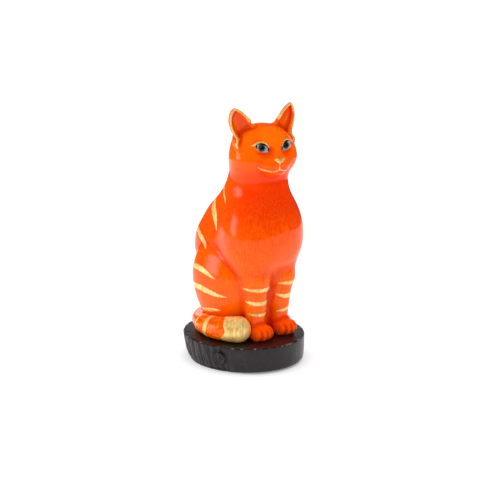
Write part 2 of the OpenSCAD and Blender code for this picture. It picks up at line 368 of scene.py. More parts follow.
def open_loops(faces):
    """The open edges of a mesh, as loops that run the way a face on them has to."""
    edges = {(u, v) for f in faces for u, v in zip(f, f[1:] + f[:1])}
    after = {v: u for f in faces for u, v in zip(f, f[1:] + f[:1]) if (v, u) not in edges}
    loops = []
    while after:
        loop, u = [], next(iter(after))
        while u in after:
            loop.append(u)
            u = after.pop(u)
        if len(loop) > 2:
            loops.append(loop)
    return loops


def solid(name, points, faces, normals=None, uv=None, **values):
    """A closed piece from figure millimetres: open edges are closed with a fan inside."""
    points, faces = np.asarray(points, float), [tuple(int(i) for i in f) for f in faces]
    loops = open_loops(faces)
    caps = []
    for k, loop in enumerate(loops):
        caps += [(u, v, len(points) + k) for u, v in zip(loop, loop[1:] + loop[:1])]
    extra = np.array([points[loop].mean(0) for loop in loops]).reshape(-1, 3)

    mesh = bpy.data.meshes.new(name)
    mesh.from_pydata([tuple(p) for p in to_row(np.concatenate([points, extra]))], [], faces + caps)
    mesh.polygons.foreach_set("use_smooth", [True] * len(faces) + [False] * len(caps))
    corners = np.empty(len(mesh.loops), np.int32)
    mesh.loops.foreach_get("vertex_index", corners)
    for key, value in values.items():
        layer = mesh.attributes.new(key, "FLOAT", "POINT")
        layer.data.foreach_set("value", np.concatenate([value, np.zeros(len(extra))]).astype(np.float32))
    if uv is not None:
        layer = mesh.uv_layers.new(name="UVMap")
        uv = np.concatenate([uv, np.zeros((len(extra), 2))])
        layer.data.foreach_set("uv", uv[corners].astype(np.float32).ravel())
    if normals is not None:
        own = np.concatenate([normals, np.zeros((len(extra), 3))])[corners]
        own[sum(len(f) for f in faces):] = 0  # caps keep their own flat normals
        mesh.normals_split_custom_set([tuple(v) for v in own.tolist()])
    mesh.update()
    piece = bpy.data.objects.new(name, mesh)
    bpy.context.scene.collection.objects.link(piece)
    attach(piece, "root")
    return piece


def subset(name, surface, keep):
    """A solid of the faces chosen from a contoured surface. The fur fades out low down and on the neck."""
    points, faces, normals, hollow = surface
    faces = [f for f, kept in zip(faces, keep) if kept]
    used = np.unique(np.concatenate([np.array(f) for f in faces]))
    index = np.full(len(points), -1)
    index[used] = np.arange(len(used))
    faces = [tuple(index[list(f)]) for f in faces]
    z = points[used, 2]
    fur = np.clip((74 - z) / 8, 0, 1) * np.clip((z - 4) / 40, 0, 1) ** 0.6
    return solid(name, points[used], faces, normals[used], hollow=hollow[used], fur=fur)


def tree(*surfaces):
    """Surfaces to cast rays at, in figure millimetres."""
    verts, faces = [], []
    for points, quads, *_ in surfaces:
        faces += [tuple(int(i) + len(verts) for i in q) for q in quads]
        verts += [tuple(float(c) for c in p) for p in points]
    return BVHTree.FromPolygons(verts, faces)


# ---- Materials ----

class Look:
    """A material with one shader, and short ways to add nodes to it. Lengths are in metres."""

    def __init__(self, name):
        self.material = bpy.data.materials.new(name)
        self.material.use_nodes = True
        self.nodes, self.links = self.material.node_tree.nodes, self.material.node_tree.links
        self.shader = self.nodes["Principled BSDF"]

    def feed(self, socket, value):
        if isinstance(value, bpy.types.NodeSocket):
            self.links.new(value, socket)
        else:
            socket.default_value = value

    def node(self, kind, inputs=(), **settings):
        node = self.nodes.new(kind)
        for key, value in settings.items():
            setattr(node, key, value)
        for key, value in dict(inputs).items():
            self.feed(node.inputs[key], value)
        return node

    def where(self):
        return self.node("ShaderNodeTexCoord").outputs["Object"]

    def uv(self):
        return self.node("ShaderNodeUVMap", uv_map="UVMap").outputs[0]

    def value(self, name):
        """A number that the mesh carries."""
        return self.node("ShaderNodeAttribute", attribute_name=name).outputs["Fac"]

    def noise(self, vector, scale, detail=2.0, distortion=0.0):
        inputs = {"Vector": vector, "Scale": scale, "Detail": detail, "Distortion": distortion}
        return self.node("ShaderNodeTexNoise", inputs).outputs[0]

    def stretched(self, vector, scale, rotation=(0, 0, 0)):
        inputs = {"Vector": vector, "Scale": scale, "Rotation": rotation}
        return self.node("ShaderNodeMapping", inputs).outputs[0]

    def ramp(self, value, *stops):
        node = self.node("ShaderNodeValToRGB", {0: value})
        elements = node.color_ramp.elements
        while len(elements) < len(stops):
            elements.new(0.5)
        for element, (at, colour) in zip(elements, stops):
            element.position, element.color = at, (*colour, 1)
        return node.outputs[0]

    def share(self, value, low, high):
        """0 up to low, 1 from high."""
        return self.node("ShaderNodeMapRange", {"Value": value, "From Min": low, "From Max": high}).outputs[0]

    def maths(self, operation, *values):
        return self.node("ShaderNodeMath", dict(enumerate(values)), operation=operation).outputs[0]

    def mix(self, factor, a, b, blend="MIX"):
        a, b = ((*v, 1) if isinstance(v, tuple) else v for v in (a, b))
        inputs = {0: factor, 6: a, 7: b}
        return self.node("ShaderNodeMix", inputs, data_type="RGBA", blend_type=blend).outputs[2]

    def bump(self, height, strength, distance):
        inputs = {"Height": height, "Strength": strength, "Distance": distance}
        return self.node("ShaderNodeBump", inputs).outputs[0]

    def put(self, **inputs):
        for key, value in inputs.items():
            self.feed(self.shader.inputs[key.replace("_", " ")], value)
        return self.material


BLACK, WHITE = (0, 0, 0), (1, 1, 1)

# Painted light and shade on the enamel, from the plinth (0) to the ear tips (1), in front and behind: it is
# painted yellower, as lit, over the crown and low on the back, and deepest, as shaded, on the upper chest
# under the chin.
FRONT_LIGHT_AND_SHADE = (
    (0.05, (1.0, 0.72, 1.0)), (0.12, (1.0, 1.05, 1.0)), (0.30, (1.0, 1.05, 1.0)), (0.44, (1.0, 0.8, 1.0)),
    (0.56, (0.90, 0.46, 1.0)), (0.64, (0.93, 0.42, 1.0)), (0.71, (1.0, 0.62, 1.0)), (0.78, (1.0, 0.85, 1.0)),
    (0.87, (1.0, 1.3, 1.0)), (0.905, (1.0, 1.25, 1.0)), (0.94, (0.95, 0.58, 1.0)),
)
REAR_LIGHT_AND_SHADE = (
    (0.2, (1.0, 1.05, 1.0)), (0.44, (1.0, 0.75, 1.0)), (0.66, (1.0, 0.85, 1.0)), (0.88, (1.0, 1.3, 1.0)),
)
# Along the tail it is brushed in streaks, from deep to yellow.
TAIL_TINTS = ((0.36, (0.93, 0.68, 1.0)), (0.5, (1.0, 1.2, 1.0)), (0.66, (1.0, 2.3, 1.0)))
# The enamel itself, from a thin coat to a deep one. Its deep end also paints shade into the creases, and its
# thin end paints light onto the ridges.
ENAMEL_DEPTHS_AND_SHADE = (
    (0.2, (0.98, 0.135, 0.0)), (0.45, (0.95, 0.100, 0.0)), (0.7, (0.88, 0.062, 0.0)),
    (1.0, (0.70, 0.030, 0.0)),
)


def brushed_lay(look, where):
    """The casting's place, bent and drawn out along the hair."""
    bend = look.node("ShaderNodeTexNoise", {"Vector": where, "Scale": 55.0, "Detail": 1.0}).outputs["Color"]
    swirl = look.node("ShaderNodeVectorMath", {0: bend, "Scale": 0.009}, operation="SCALE").outputs[0]
    bent = look.node("ShaderNodeVectorMath", {0: where, 1: swirl}, operation="ADD").outputs[0]
    return look.stretched(bent, (1, 1, 0.1), (0.1, 0.25, 0))


def enamel(name, along_tail=False):
    """Clear glossy orange enamel over a casting whose hair is brushed into the metal."""
    look = Look(name)
    where = look.where()
    if along_tail:
        lay = look.stretched(look.uv(), (0.024, 0.004, 1))
        tint_and_light = look.ramp(look.noise(lay, 620.0), *TAIL_TINTS)
        soft, bright = (0.93, 0.62, 0.5), (1.02, 1.4, 2.4)
    else:
        lay = brushed_lay(look, where)
        place = look.node("ShaderNodeSeparateXYZ", {0: where})
        # painted light and shade: the body's enamel is lightened and darkened by height, in front and behind
        height = look.maths("MULTIPLY_ADD", place.outputs[2], 1000 / (TALL * K), -TOP / (TALL * K))
        front, rear = look.ramp(height, *FRONT_LIGHT_AND_SHADE), look.ramp(height, *REAR_LIGHT_AND_SHADE)
        tint_and_light = look.mix(look.share(place.outputs[1], -0.012, 0.004), front, rear)
        soft, bright = (0.93, 0.74, 0.7), (1.02, 1.3, 2.0)
    # the enamel runs off the ridges and pools in the creases, where it is deeper; this also paints shade into
    # the creases and light onto the ridges
    pooled_and_shaded = look.maths("MINIMUM", look.maths("MAXIMUM", look.value("hollow"), -0.2), 0.38)
    cloud = look.maths("MULTIPLY_ADD", look.noise(where, 45.0), 0.35, 0.3)
    colour = look.ramp(look.maths("ADD", pooled_and_shaded, cloud), *ENAMEL_DEPTHS_AND_SHADE)
    colour = look.mix(1.0, colour, tint_and_light, "MULTIPLY")
    hair, fur = look.noise(lay, 2300.0, 1.5), look.value("fur")
    streaked = look.mix(1.0, colour, look.ramp(hair, (0.42, soft), (0.60, bright)), "MULTIPLY")
    relief = look.bump(look.maths("MULTIPLY", hair, fur), 0.3, 0.0002)
    look.put(Base_Color=look.mix(fur, colour, streaked), Normal=relief, Coat_Normal=relief)
    look.put(Coat_Weight=0.75, Coat_Roughness=0.08, Coat_IOR=1.33)
    return look.put(Roughness=0.5, Specular_IOR_Level=0.0)


def gilding():
    """Gold enamel, laid on with a brush."""
    look = Look("gilt")
    where = look.where()
    brush = look.noise(look.stretched(where, (1.0, 1.0, 0.16), (0.12, 0.1, 0)), 1300.0, 1.0)
    colour = look.ramp(look.noise(where, 260.0), (0.3, (0.90, 0.49, 0.12)), (0.7, (1.0, 0.75, 0.28)))
    gap = look.ramp(brush, (0.36, (0.55, 0.55, 0.55)), (0.56, BLACK))
    look.put(Base_Color=look.mix(gap, colour, (0.58, 0.25, 0.06)), Normal=look.bump(brush, 0.35, 0.0001))
    look.put(Roughness=look.maths("MULTIPLY_ADD", brush, 0.3, 0.2))
    return look.put(Metallic=0.25, Specular_IOR_Level=0.5)


def stained_wood():
    """Nearly black stained wood, rubbed paler along its top edge, where the same pale specks are also painted
    glints.
    """
    look = Look("stained_wood")
    where = look.where()
    grain = look.noise(look.stretched(where, (1.0, 0.12, 1.0)), 900.0, 4.0, 0.4)
    wear, speck = look.noise(where, 170.0, 4.0), look.noise(where, 520.0)
    colour = look.ramp(grain, (0.3, (0.006, 0.004, 0.0055)), (0.7, (0.016, 0.011, 0.014)))
    colour = look.mix(look.ramp(wear, (0.55, BLACK), (0.75, (0.6, 0.6, 0.6))), colour, (0.030, 0.021, 0.026))
    # pale specks along the top edge: rubbed wear and painted glints
    rubbed_and_glinting = look.maths("MULTIPLY", look.ramp(speck, (0.5, BLACK), (0.66, WHITE)), look.value("worn"))
    look.put(Base_Color=look.mix(rubbed_and_glinting, colour, (0.22, 0.18, 0.18)), Normal=look.bump(grain, 0.35, 0.0002))
    look.put(Roughness=look.maths("MULTIPLY_ADD", wear, 0.3, 0.2))
    return look.put(Specular_IOR_Level=0.35)


def eye_enamel():
    """Grey iris, black pupil and outline, laid out on the eye's own map in millimetres."""
    look = Look("eye_enamel")
    uv = look.uv()
    part = look.node("ShaderNodeSeparateXYZ", {0: uv})

    def disc(radius, soft, u=0, v=0):
        du, dv = look.maths("SUBTRACT", part.outputs[0], u), look.maths("SUBTRACT", part.outputs[1], v)
        squared = look.maths("ADD", look.maths("MULTIPLY", du, du), look.maths("MULTIPLY", dv, dv))
        inputs = {"Value": look.maths("SQRT", squared), "From Min": radius - soft, "From Max": radius + soft}
        inputs |= {"To Min": 1.0, "To Max": 0.0}
        return look.node("ShaderNodeMapRange", inputs, interpolation_type="SMOOTHSTEP").outputs[0]

    fleck = look.ramp(look.noise(uv, 1.2), (0.35, BLACK), (0.65, WHITE))
    colour = look.mix(fleck, (0.29, 0.27, 0.285), (0.42, 0.39, 0.405))
    colour = look.mix(disc(1.62, 0.3), colour, (0.035, 0.038, 0.045))
    colour = look.mix(disc(1.0, 0.2), colour, (0.0012, 0.001, 0.0012))
    # painted highlight: a small pale spot on the iris, as a catchlight
    painted_glint = look.maths("MULTIPLY", disc(0.2, 0.12, -0.42, 0.45), 0.35)
    colour = look.mix(painted_glint, colour, (0.30, 0.30, 0.32))
    outline = look.share(look.maths("MULTIPLY_ADD", look.value("lid"), 0.2, look.value("rim")), 0.8, 0.88)
    look.put(Base_Color=look.mix(outline, colour, (0.006, 0.003, 0.004)))
    look.put(Coat_Weight=0.6, Coat_Roughness=0.03, Coat_IOR=1.35)
    return look.put(Roughness=0.4, Specular_IOR_Level=0.1)


def steel():
    look = Look("steel")
    brushed = look.noise(look.where(), 900.0)
    look.put(Base_Color=look.ramp(brushed, (0.3, (0.42, 0.42, 0.43)), (0.7, (0.6, 0.6, 0.6))))
    look.put(Roughness=look.maths("MULTIPLY_ADD", brushed, 0.2, 0.3))
    return look.put(Metallic=1.0)


def felt():
    look = Look("felt")
    fibre = look.noise(look.where(), 2500.0, 3.0)
    look.put(Base_Color=look.ramp(fibre, (0.3, (0.012, 0.012, 0.013)), (0.7, (0.04, 0.04, 0.042))))
    look.put(Normal=look.bump(fibre, 0.8, 0.0003))
    return look.put(Roughness=0.95, Sheen_Weight=0.3)


ORANGE, TAIL_ORANGE = enamel("orange_enamel"), enamel("orange_enamel_tail", along_tail=True)
GILT, WOOD, EYE, STEEL, FELT = gilding(), stained_wood(), eye_enamel(), steel(), felt()


def finish_piece(piece, look, node):
    """Give a piece its material, and let it stand in for a node of the CAD."""
    piece.data.materials.clear()
    piece.data.materials.append(look)
    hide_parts(node)


# ---- The casting ----

HEAD_CELL, BODY_CELL = ((0.3, 0.45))
body_surface = contour(skin, (-24, -28, -1.5), (24, 34, NECK + 4 * BODY_CELL), BODY_CELL, NECK, above=False)
head_surface = contour(skin, (-21, -28, NECK - 4 * HEAD_CELL), (21, 10, 109), HEAD_CELL, NECK, above=True)
CAST = tree(body_surface, head_surface)
ELBOW = 34.0                       # the forelegs' pieces end below this height


def middles(surface):
    points, faces, *_ = surface
    return np.float32([points[list(f)].mean(0) for f in faces])


def pick_body():
    """Which faces of the lower casting are the body's, and which each foreleg's."""
    c = middles(body_surface)
    q = both(c)
    leg = (foreleg(q) < np.minimum(trunk(c, q), hind_paw(q))) & (c[:, 2] < ELBOW)
    return {"body": ~leg, "right_foreleg": leg & (c[:, 0] < 0), "left_foreleg": leg & (c[:, 0] > 0)}


def pick_head():
    """Which faces of the upper casting are the head's, and which each ear's."""
    h = to_head(middles(head_surface))
    a = both(h)
    is_ear = ear(a) < skull(h, a)
    return {"head": ~is_ear, "right_ear": is_ear & (h[:, 0] < 0), "left_ear": is_ear & (h[:, 0] > 0)}


for surface, picks in ((body_surface, pick_body()), (head_surface, pick_head())):
    for name, keep in picks.items():
        finish_piece(subset("cast_" + name, surface, keep), ORANGE, name)


# ---- Tail: the rows are x, y, z and radius, from the root inside the body ----

TAIL = spline([
    (6.0, 13.5, 4.3, 3.0), (2.2, 22.6, 3.6, 3.3), (-6, 23.8, 3.6, 3.5), (-12.6, 20.2, 3.8, 3.7),
    (-17.4, 14.0, 4.1, 4.0), (-20.6, 6.7, 4.7, 4.6), (-21.5, -0.4, 5.2, 5.1), (-20.0, -7.2, 5.7, 5.6),
    (-17.5, -12.0, 6.0, 5.9),
], 161)
TAIL_AROUND = 48
TAIL_END = 1.2                     # where the rounded end closes, on the scale of tail_point
LAST_RING = 1.196                  # just short of it


def ring_faces(rings, around, closed=False):
    """Quads between neighbouring rings of points, and from the last to the first if closed."""
    faces = []
    for i in range(rings if closed else rings - 1):
        a, b = i * around, (i + 1) % rings * around
        faces += [(a + j, a + (j + 1) % around, b + (j + 1) % around, b + j) for j in range(around)]
    return faces


def tail_point(s, turn, more=0.0):
    """A point on the tail: s runs from 0 at the root to 1 where the rounded end starts, then to TAIL_END."""
    x = min(s, 1) * (len(TAIL) - 1)
    i = min(int(x), len(TAIL) - 2)
    row = TAIL[i] + (TAIL[i + 1] - TAIL[i]) * (x - i)
    ahead = TAIL[i + 1][:3] - TAIL[i][:3]
    ahead /= np.linalg.norm(ahead)
    out = np.cross(ahead, (0, 0, 1))
    out /= np.linalg.norm(out)
    up = np.cross(out, ahead)
    r = row[3] + more
    end = max(s - 1, 0) / (TAIL_END - 1) * math.pi / 2
    outwards = out * math.cos(turn) + up * math.sin(turn)
    return row[:3] + ahead * r * 0.85 * math.sin(end) + outwards * r * math.cos(end)


def tail_part(name, start, stop, rings, more=0.0):
    """A stretch of the tail; start and stop are functions of the angle round it."""
    points, uv = [], []
    for i in range(rings):
        for turn in np.arange(TAIL_AROUND) * 2 * math.pi / TAIL_AROUND:
            s = min(start(turn) + (stop(turn) - start(turn)) * i / (rings - 1), LAST_RING)
            points.append(tail_point(s, turn, more))
            uv.append((turn / (2 * math.pi), s * 5))
    points, faces = np.array(points), ring_faces(rings, TAIL_AROUND)
    normal = np.cross(points[1] - points[0], points[TAIL_AROUND] - points[0])
    if np.dot(normal, points[0] - points[:TAIL_AROUND].mean(0)) < 0:
        faces = [f[::-1] for f in faces]
    return solid(name, points, faces, uv=np.array(uv), fur=np.ones(len(points)))


def gilt_edge(turn):
    """Where the gilt end begins, unevenly."""
    return 0.878 + 0.016 * math.sin(turn * 3 + 0.5) + 0.01 * math.sin(turn * 5 + 2)


def tail_band(at, wide):
    """A gilt band round the tail: half sunk in it, and uneven in place and width."""
    outline = ((-1, -0.2), (-1, 0.06), (-0.6, 0.16), (0.6, 0.16), (1, 0.06), (1, -0.2))
    points = []
    for s, more in outline:
        for t in np.arange(TAIL_AROUND) * 2 * math.pi / TAIL_AROUND:
            middle = at + 0.012 * math.sin(t + 0.3) + 0.005 * math.sin(3 * t + at * 9)
            half = wide * (0.8 + 0.3 * math.sin(t + at * 20))
            points.append(tail_point(middle + s * half, t, more))
    return points, ring_faces(len(outline), TAIL_AROUND, closed=True)


def join(name, *parts):
    """One solid of several closed parts."""
    points, faces, count = [], [], 0
    for p, f in parts:
        faces += [tuple(i + count for i in face) for face in f]
        points.append(p)
        count += len(p)
    return solid(name, np.concatenate(points), faces)


def gilt(piece, node):
    finish_piece(piece, GILT, node)


tail = tail_part("cast_tail", lambda turn: 0.0, lambda turn: gilt_edge(turn) + 0.01, 150)
finish_piece(tail, TAIL_ORANGE, "tail")
gilt(tail_part("gilt_tail_tip", gilt_edge, lambda turn: TAIL_END, 70, 0.12), "tail_tip")
gilt(join("gilt_tail_bands", tail_band(0.58, 0.011), tail_band(0.711, 0.0185)), "tail_bands")


# ---- Trim laid on the casting ----

def laid(origins, directions, height, sink=0.25):
    """A closed patch on the casting. origins is a grid of ray starts, and height its thickness there."""
    n, m = origins.shape[:2]
    top, low = np.empty((n, m, 3)), np.empty((n, m, 3))
    for i in range(n):
        for j in range(m):
            hit, normal, *_ = CAST.ray_cast(Vector(origins[i, j]), Vector(directions[i, j]))
            if hit is None:
                hit, normal, *_ = CAST.find_nearest(Vector(origins[i, j] + 25 * directions[i, j]))
            normal = np.array(normal)
            top[i, j] = np.array(hit) + normal * height[i, j]
            low[i, j] = np.array(hit) - normal * sink
    points = np.concatenate([top.reshape(-1, 3), low.reshape(-1, 3)])
    under = n * m
    faces = grid_faces(n, m)
    faces += [f[::-1] for f in grid_faces(n, m, under)]
    rim = list(range(m))
    rim += [i * m + m - 1 for i in range(1, n)]
    rim += [(n - 1) * m + j for j in range(m - 2, -1, -1)]
    rim += [i * m for i in range(n - 2, 0, -1)]
    faces += [(u, v, v + under, u + under) for u, v in zip(rim, rim[1:] + rim[:1])]
    a, b, c = (points[i] for i in faces[0][:3])
    if np.dot(np.cross(b - a, c - b), -directions[0, 0]) < 0:
        faces = [f[::-1] for f in faces]
    return points, faces


def wobble(x, seed):
    """An irregular wave between -1 and 1."""
    return (0.5 * math.sin(2.3 * x + seed) + 0.3 * math.sin(5.1 * x + 2.1 * seed)
            + 0.2 * math.sin(9.7 * x + 0.7 * seed))


def stripe(axis, path, seed):
    """A brushed stripe round an upright axis. Each row of path: angle in degrees, height, half width."""
    n, m, thick, rough = 44, 9, 0.16, 0.12
    radius = 14.0                  # about how far the skin is from the axis
    path = spline(path, n)
    s = np.radians(path[:, 0]) * radius
    z, wide = path[:, 1], np.maximum(path[:, 2], 0.05)
    ds, dz = np.gradient(s), np.gradient(z)
    size = np.hypot(ds, dz)
    origins, directions, height_at = np.empty((n, m, 3)), np.empty((n, m, 3)), np.empty((n, m))

    def edge(i, seed):
        return wide[i] * (1 + rough * wobble(i * 0.45, seed)) + rough * 0.5 * wobble(i * 0.3, seed + 5)

    for i in range(n):
        for j in range(m):
            t = 2 * j / (m - 1) - 1
            w = t * edge(i, seed if t > 0 else seed + 3)
            angle, height = (s[i] - dz[i] / size[i] * w) / radius, z[i] + ds[i] / size[i] * w
            out = np.array([math.cos(angle), math.sin(angle), 0.0])
            origins[i, j] = np.array([axis[0], axis[1], height]) + out * 40
            directions[i, j] = -out
            ends = min(min(i, n - 1 - i) / 3, 1)
            height_at[i, j] = thick * math.sqrt(max(1 - t ** 4, 0)) * ends - 0.02
    return laid(origins, directions, height_at)


def flip(path):
    """The same stripe on the other side."""
    return [(180 - angle, height, wide) for angle, height, wide in path]


# Angles are from +X towards +Y, so the right side is about 180.
HAUNCH = [
    [(108, 29.4, 0.8), (130, 30.3, 1.3), (153, 29.8, 1.3), (178, 28.5, 0.85), (199, 27.3, 0.12)],
    [(118, 21.0, 1.2), (145, 21.2, 1.5), (178, 20.4, 1.3), (205, 19.8, 0.9), (229, 19.7, 0.12)],
    [(122, 9.8, 0.4), (145, 10.6, 0.9), (170, 11.4, 1.0), (192, 12.0, 0.7), (211, 12.3, 0.12)],
]
BACK = [
    [(122, 70.0, 0.3), (138, 68.8, 0.8), (152, 66.4, 0.8), (163, 64.0, 0.5), (171, 61.4, 0.1)],
    [(118, 61.8, 0.5), (130, 59.6, 1.2), (142, 56.2, 1.5), (150, 52.4, 1.0), (157, 48.2, 0.12)],
    [(112, 46.6, 0.5), (124, 44.2, 1.0), (134, 41.8, 0.9), (144, 39.0, 0.12)],
]
RIGHT_LEG = [
    [(175, 24.6, 0.12), (200, 24.2, 0.7), (240, 23.8, 1.0), (290, 23.8, 1.15), (322, 23.8, 0.9)],
    [(172, 18.0, 0.3), (200, 17.6, 0.9), (240, 17.2, 1.05), (290, 17.1, 1.15), (322, 17.1, 0.9)],
    [(172, 12.2, 0.12), (205, 11.9, 0.6), (250, 11.6, 0.75), (290, 11.5, 0.8), (322, 11.6, 0.6)],
]
LEFT_LEG = [
    [(218, 24.8, 0.12), (240, 24.7, 0.6), (275, 24.4, 1.0), (310, 24.6, 1.1), (350, 25.0, 1.0)],
    [(204, 19.4, 0.12), (224, 18.7, 0.7), (262, 18.0, 1.1), (310, 18.0, 1.3), (350, 18.4, 1.2)],
    [(204, 11.0, 0.12), (226, 11.1, 0.6), (265, 11.4, 0.85), (310, 12.0, 0.9), (350, 12.4, 0.8)],
]


def mirrored_stripes(name, paths, off, depth, seed):
    """Stripes on the right, and the same on the left. off and depth place the axis they go round."""
    parts = []
    for n, path in enumerate(paths):
        parts.append(stripe((-off, depth), path, seed + n))
        parts.append(stripe((off, depth), flip(path), seed + 6 + n))
    gilt(join("gilt_" + name, *parts), name)


def leg_stripes(name, x, paths, seed):
    parts = [stripe((x, -12.0), path, seed + n) for n, path in enumerate(paths)]
    gilt(join("gilt_" + name, *parts), name)


mirrored_stripes("haunch_stripes", HAUNCH, 10.4, 4.4, 1)
mirrored_stripes("back_stripes", BACK, 0, -1.5, 11)
leg_stripes("right_foreleg_stripes", -7.3, RIGHT_LEG, 23)
leg_stripes("left_foreleg_stripes", 7.3, LEFT_LEG, 29)


# ---- Face ----

BEFORE = 30.0                      # rays at the face start this far ahead of the head's axis


def face_line(path, height, n=40, m=7):
    """A line on the face. Each row of path: the head's own left, height, half width."""
    path = spline(path, n)
    dx, dz = np.gradient(path[:, 0]), np.gradient(path[:, 1])
    size = np.hypot(dx, dz)
    origins, directions, height_at = np.empty((n, m, 3)), np.empty((n, m, 3)), np.empty((n, m))
    for i in range(n):
        for j in range(m):
            t = 2 * j / (m - 1) - 1
            w = t * path[i, 2]
            x, z = path[i, 0] - dz[i] / size[i] * w, path[i, 1] + dx[i] / size[i] * w
            origins[i, j] = from_head((x, BEFORE, z))
            directions[i, j] = -AHEAD
            height_at[i, j] = height * math.sqrt(max(1 - t * t, 0)) * min(min(i, n - 1 - i) / 2, 1)
    return laid(origins, directions, height_at)


LID = [
    (10.5, 91.15, 0.1), (9.7, 91.35, 0.22), (8.8, 91.9, 0.27), (7.7, 92.55, 0.3), (6.3, 92.85, 0.32),
    (5.0, 92.5, 0.3), (4.0, 91.6, 0.26), (3.2, 90.3, 0.12),
]
SMILE = [
    (0, 80.95, 0.3), (1.4, 80.4, 0.26), (3.0, 80.15, 0.28), (4.6, 80.3, 0.28), (6.2, 80.7, 0.25),
    (7.6, 81.3, 0.22), (8.6, 82.1, 0.12),
]
PHILTRUM = [(0, 84.2, 0.3), (0, 83.0, 0.2), (0, 82.0, 0.22), (0, 81.2, 0.45), (0, 80.6, 0.7)]
NOSE_LOBE = [(2.5, 85.6, 0.2), (1.8, 85.5, 0.65), (1.0, 85.1, 0.85), (0.3, 84.4, 0.7)]
NOSE_POINT = [(0, 85.3, 0.4), (0, 84.7, 0.9), (0, 84.1, 0.6), (0, 83.4, 0.15)]


def on_side(side, path):
    return [(side * x, z, w) for x, z, w in path]


for side, name in BOTH_SIDES:
    gilt(join(f"gilt_{name}_eyelid", face_line(on_side(side, LID), 0.28)), f"{name}_eyelid")
smile = [face_line(on_side(side, SMILE), 0.2) for side, _ in BOTH_SIDES]
gilt(join("gilt_mouth", *smile, face_line(PHILTRUM, 0.2)), "mouth")
lobes = [face_line(on_side(side, NOSE_LOBE), 0.35, 24, 11) for side, _ in BOTH_SIDES]
gilt(join("gilt_nose", *lobes, face_line(NOSE_POINT, 0.33, 16, 9)), "nose")

EYE_OUT, EYE_UP, EYE_HALF = 6.15, 90.0, 2.9    # an eye's middle, and half its width
UPPER, LOWER, SLANT = 2.6, 1.65, 0.9           # how far it opens up and down, and its outer corner's rise
PUPIL_OUT, PUPIL_UP, GAZE = 6.1, 90.45, -0.5   # both pupils are moved by GAZE, towards the head's right


def eye(side, name):
    """An almond of enamel on the eyeball, with its map in millimetres from the pupil's middle.

    rim runs from 0 to 1 at the edge, and lid from 0 at the bottom to 1 at the top.
    """
    n, m = 25, 49
    origins, directions, height_at = np.empty((n, m, 3)), np.empty((n, m, 3)), np.empty((n, m))
    uv, rim = np.empty((n, m, 2)), np.empty((n, m))
    for i in range(n):
        for j in range(m):
            v, u = 2 * i / (n - 1) - 1, 2 * j / (m - 1) - 1
            corner = 3.4 if u < 0 and v > 0 else 2.3
            tall = (UPPER if v > 0 else LOWER) * (1 - abs(u) ** corner) ** 0.7 + 0.03
            x, z = side * (EYE_OUT + u * EYE_HALF), EYE_UP + v * tall + SLANT * u
            origins[i, j] = from_head((x, BEFORE, z))
            directions[i, j] = -AHEAD
            height_at[i, j] = 0.12 * math.sqrt(max(1 - v * v, 0))
            uv[i, j] = (x - (side * PUPIL_OUT + GAZE), z - PUPIL_UP)
            rim[i, j] = max(max(-u, 0) ** 1.5, max(u, 0) ** 1.4, abs(v) - (0.08 if v < 0 else 0))
    points, faces = laid(origins, directions, height_at)
    lid = np.repeat(np.linspace(0, 1, n), m)
    # the patch's top and underside share their values
    return solid(f"painted_{name}_eye", points, faces, uv=np.tile(uv.reshape(-1, 2), (2, 1)),
                 rim=np.tile(rim.ravel(), 2), lid=np.tile(lid, 2))


for side, name in BOTH_SIDES:
    finish_piece(eye(side, name), EYE, f"{name}_eye")


# ---- Ear rims ----

def tube(path, around=12):
    """A rounded cord along path, whose rows are a point and a radius."""
    n = len(path)
    ahead = np.gradient(path[:, :3], axis=0)
    ahead /= np.linalg.norm(ahead, axis=1)[:, None]
    side = np.cross(ahead[0], (0.3, 1, 0.2))
    points = []
    for i in range(n):
        side = side - ahead[i] * np.dot(side, ahead[i])
        side /= np.linalg.norm(side)
        up = np.cross(ahead[i], side)
        end = min(min(i, n - 1 - i) / 3, 1)
        r = path[i, 3] * math.sqrt(1 - (1 - end) ** 2) + 0.02
        for t in np.arange(around) * 2 * math.pi / around:
            points.append(path[i, :3] + (side * math.cos(t) + up * math.sin(t)) * r)
    return np.array(points), ring_faces(n, around)


def ear_rim(side):
    """The gilt line: up the inner edge, over the tip and down the outer edge, half sunk in the ear.

    It is moved out to the ear's rounded edge and forward, then onto the casting itself.
    """
    inner = [(*p, 0.5) for p in EAR_INNER[8:-1:2]]
    outer = [(*p, 0.45) for p in EAR_OUTER[::-1][:24:2]]
    path = np.array(inner + outer)
    path[:3, 3] = 0.72, 0.7, 0.56  # broader where it starts, on the crown
    path[-1, 3] = 0.26
    ear_middle = np.array((10.6, 0.0, 98.5))
    out = path[:, :3] - ear_middle
    out[:, 1] = 0
    out /= np.linalg.norm(out, axis=1)[:, None]
    path[:, :3] += out * 0.5 + np.array((0, 1.1, 0))
    path = spline(path, 80)
    path[:, 0] *= side
    for row in path:
        at, normal, *_ = CAST.find_nearest(Vector(from_head(row[:3])))
        row[:3] = np.array(at) + 0.05 * np.array(normal)
    path[1:-1, :3] = (path[:-2, :3] + path[1:-1, :3] + path[2:, :3]) / 3
    return tube(path)


for side, name in BOTH_SIDES:
    gilt(join(f"gilt_{name}_ear_rim", ear_rim(side)), f"{name}_ear_rim")


# ---- Plinth: shapes are in the row frame's millimetres until they are handed to solid() ----

def rough_share(degrees):
    """How far the chiselled stretch is on: it is on the right side, and fades out at both ends."""
    away = abs((degrees - 165 + 180) % 360 - 180)
    return min(max((52 - away) / 9, 0), 1)


def ripple(t, level, seed):
    """A slow irregular wave round the plinth, between -1 and 1."""
    return (math.sin(9 * t + seed + 2.1 * level) + 0.6 * math.sin(23 * t + 2 * seed - 3.3 * level)
            + 0.4 * math.sin(47 * t + 3 * seed + 5.1 * level)) / 2


